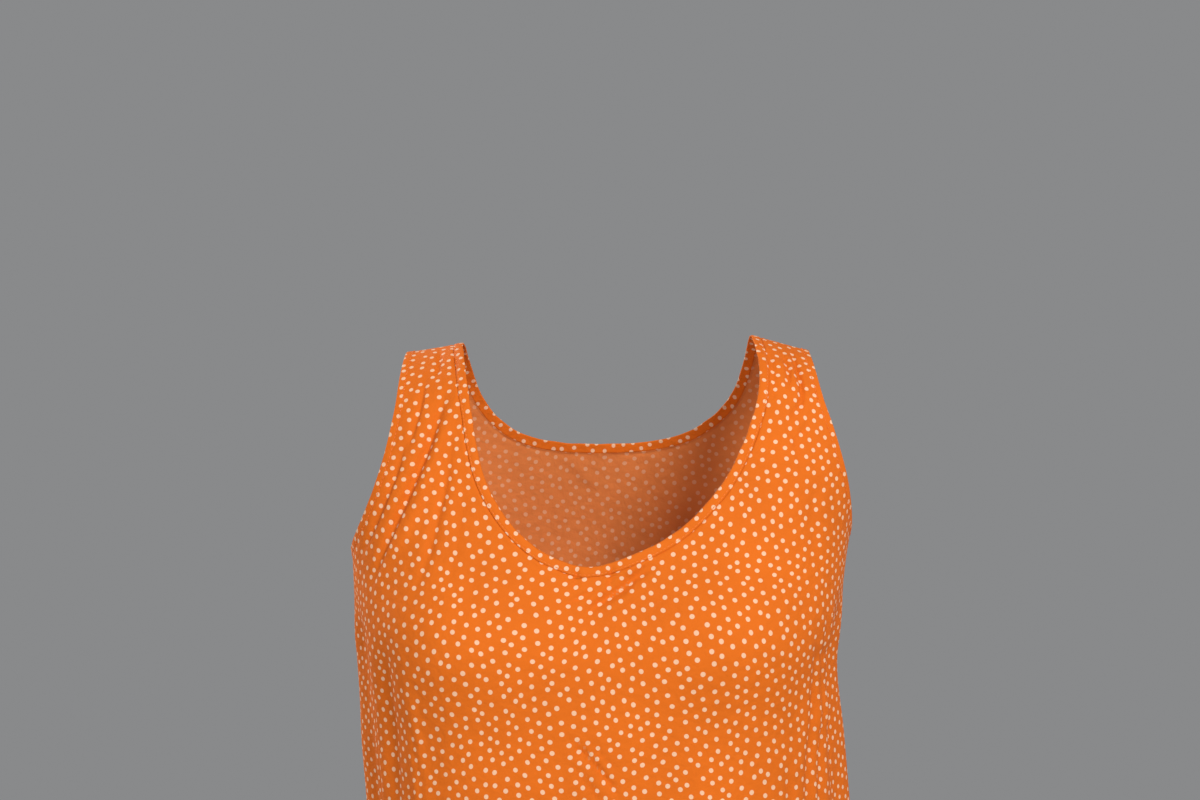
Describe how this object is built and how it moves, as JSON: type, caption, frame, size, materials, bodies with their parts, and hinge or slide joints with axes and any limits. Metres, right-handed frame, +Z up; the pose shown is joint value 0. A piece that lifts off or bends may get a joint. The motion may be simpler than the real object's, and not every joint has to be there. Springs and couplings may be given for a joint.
{
  "type": "sleeveless scoop-neck dress",
  "caption": "Loose knee-length sleeveless dress with a deep scoop neck edged by a narrow band, wide straps and a softly flared skirt, in its worn, hollow form.",
  "frame": {"origin": "midway between the tops of the two straps, on the line of the shoulder seams, where a wearer's shoulders hold the dress", "axes": "+Z up along the standing wearer, the front faces -Y, and +X is towards the wearer's left"},
  "size_m": [0.5063, 0.2853, 0.9277],
  "materials": {
    "dotted_cloth": "light plain-weave viscose, matt, orange with small scattered cream dots",
    "band_cloth": "the same dotted cloth, cut on the bias, folded and pressed"
  },
  "bodies": {
    "root": {"front": "dotted_cloth", "back": "dotted_cloth", "neck_binding": "band_cloth"}
  },
  "joints": []
}
